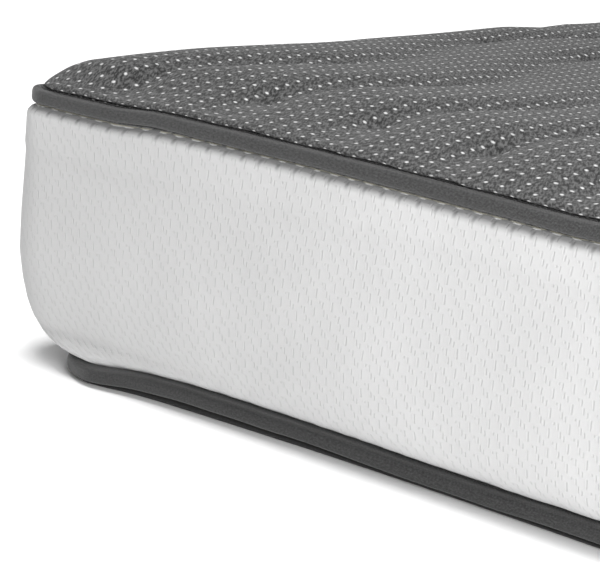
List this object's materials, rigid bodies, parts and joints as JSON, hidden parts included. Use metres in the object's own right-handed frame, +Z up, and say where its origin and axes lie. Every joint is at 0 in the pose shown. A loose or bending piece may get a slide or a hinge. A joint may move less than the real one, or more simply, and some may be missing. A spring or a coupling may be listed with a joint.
{
  "type": "memory foam mattress",
  "caption": "Rectangular foam mattress with a crowned dark quilted knit top, a bulging pale knitted border and rounded binding along its upper and lower edges.",
  "frame": {"origin": "middle of the underside, on the surface that the mattress lies on", "axes": "+X along the length, +Y across the width, +Z up through the sleeping surface"},
  "size_m": [1.9, 0.9, 0.222],
  "materials": {
    "support_foam": "firm open-cell foam, matt",
    "memory_foam": "slow-recovery open-cell foam, matt",
    "sock_knit": "thin plain stretch knit",
    "base_cloth": "plain dark non-slip cloth, matt",
    "border_knit": "white double knit with a pattern of short raised dashes",
    "backing_cloth": "non-woven backing",
    "wadding": "white fibre wadding",
    "top_knit": "heathered charcoal stretch knit with small pale dots",
    "edge_binding": "dark grey woven binding, slight sheen",
    "thread": "dark sewing thread"
  },
  "bodies": {
    "root": {"support_core": "support_foam", "memory_foam_layer": "memory_foam", "inner_sock": "sock_knit", "bottom_panel": "base_cloth", "border_fabric": "border_knit", "border_lining": "backing_cloth", "quilt_backing": "backing_cloth", "quilt_wadding": "wadding", "top_panel": "top_knit", "top_edge_tape": "edge_binding", "bottom_edge_tape": "edge_binding", "top_seam_thread": "thread", "bottom_seam_thread": "thread"}
  },
  "joints": []
}
